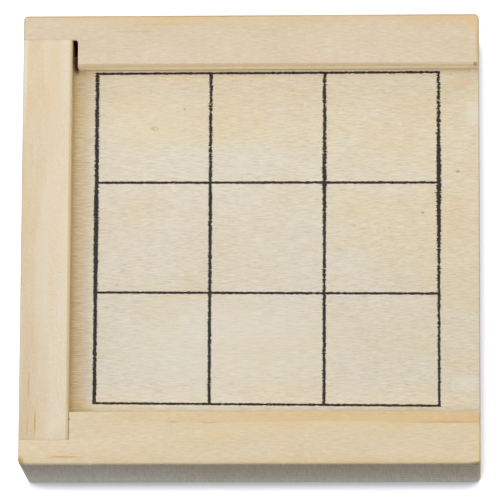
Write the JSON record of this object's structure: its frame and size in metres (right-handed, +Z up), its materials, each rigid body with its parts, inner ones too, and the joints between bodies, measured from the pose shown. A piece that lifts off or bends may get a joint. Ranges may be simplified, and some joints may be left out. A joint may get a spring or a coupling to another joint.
{
  "type": "tic-tac-toe board",
  "caption": "Shallow pine box whose sliding plywood lid is printed with a three-by-three playing grid and covers a tray of loose wooden crosses and noughts.",
  "frame": {"origin": "middle of the underside of the box", "axes": "+X the way the lid slides out, +Y from the front rail to the rear rail, +Z up"},
  "size_m": [0.12, 0.12, 0.03],
  "materials": {
    "rear_pine": "bare planed pine, matte",
    "front_pine": "bare planed pine, matte",
    "end_pine": "bare planed pine, matte",
    "plywood": "bare sanded plywood, matte",
    "ink": "thin matte printing ink",
    "piece_wood": "bare sanded hardwood, matte"
  },
  "bodies": {
    "box": {"rear_rail": "rear_pine", "front_rail": "front_pine", "left_end_board": "end_pine", "right_end_board": "end_pine", "bottom_panel": "plywood"},
    "lid": {"sliding_lid": "plywood", "printed_grid": "ink"},
    "cross_1": {"cross_1": "piece_wood"},
    "cross_2": {"cross_2": "piece_wood"},
    "cross_3": {"cross_3": "piece_wood"},
    "cross_4": {"cross_4": "piece_wood"},
    "cross_5": {"cross_5": "piece_wood"},
    "nought_1": {"nought_1": "piece_wood"},
    "nought_2": {"nought_2": "piece_wood"},
    "nought_3": {"nought_3": "piece_wood"},
    "nought_4": {"nought_4": "piece_wood"},
    "nought_5": {"nought_5": "piece_wood"}
  },
  "joints": [
    {"name": "lid_slide", "type": "slide", "parent": "box", "child": "lid", "axis": [1, 0, 0], "range_m": [0, 0.115]},
    {"name": "cross_1_lift", "type": "slide", "parent": "box", "child": "cross_1", "axis": [0, 0, 1], "range_m": [0, 0.0145]},
    {"name": "cross_2_lift", "type": "slide", "parent": "box", "child": "cross_2", "axis": [0, 0, 1], "range_m": [0, 0.0145]},
    {"name": "cross_3_lift", "type": "slide", "parent": "box", "child": "cross_3", "axis": [0, 0, 1], "range_m": [0, 0.0145]},
    {"name": "cross_4_lift", "type": "slide", "parent": "box", "child": "cross_4", "axis": [0, 0, 1], "range_m": [0, 0.0145]},
    {"name": "cross_5_lift", "type": "slide", "parent": "box", "child": "cross_5", "axis": [0, 0, 1], "range_m": [0, 0.0145]},
    {"name": "nought_1_lift", "type": "slide", "parent": "box", "child": "nought_1", "axis": [0, 0, 1], "range_m": [0, 0.0145]},
    {"name": "nought_2_lift", "type": "slide", "parent": "box", "child": "nought_2", "axis": [0, 0, 1], "range_m": [0, 0.0145]},
    {"name": "nought_3_lift", "type": "slide", "parent": "box", "child": "nought_3", "axis": [0, 0, 1], "range_m": [0, 0.0145]},
    {"name": "nought_4_lift", "type": "slide", "parent": "box", "child": "nought_4", "axis": [0, 0, 1], "range_m": [0, 0.0145]},
    {"name": "nought_5_lift", "type": "slide", "parent": "box", "child": "nought_5", "axis": [0, 0, 1], "range_m": [0, 0.0145]}
  ]
}
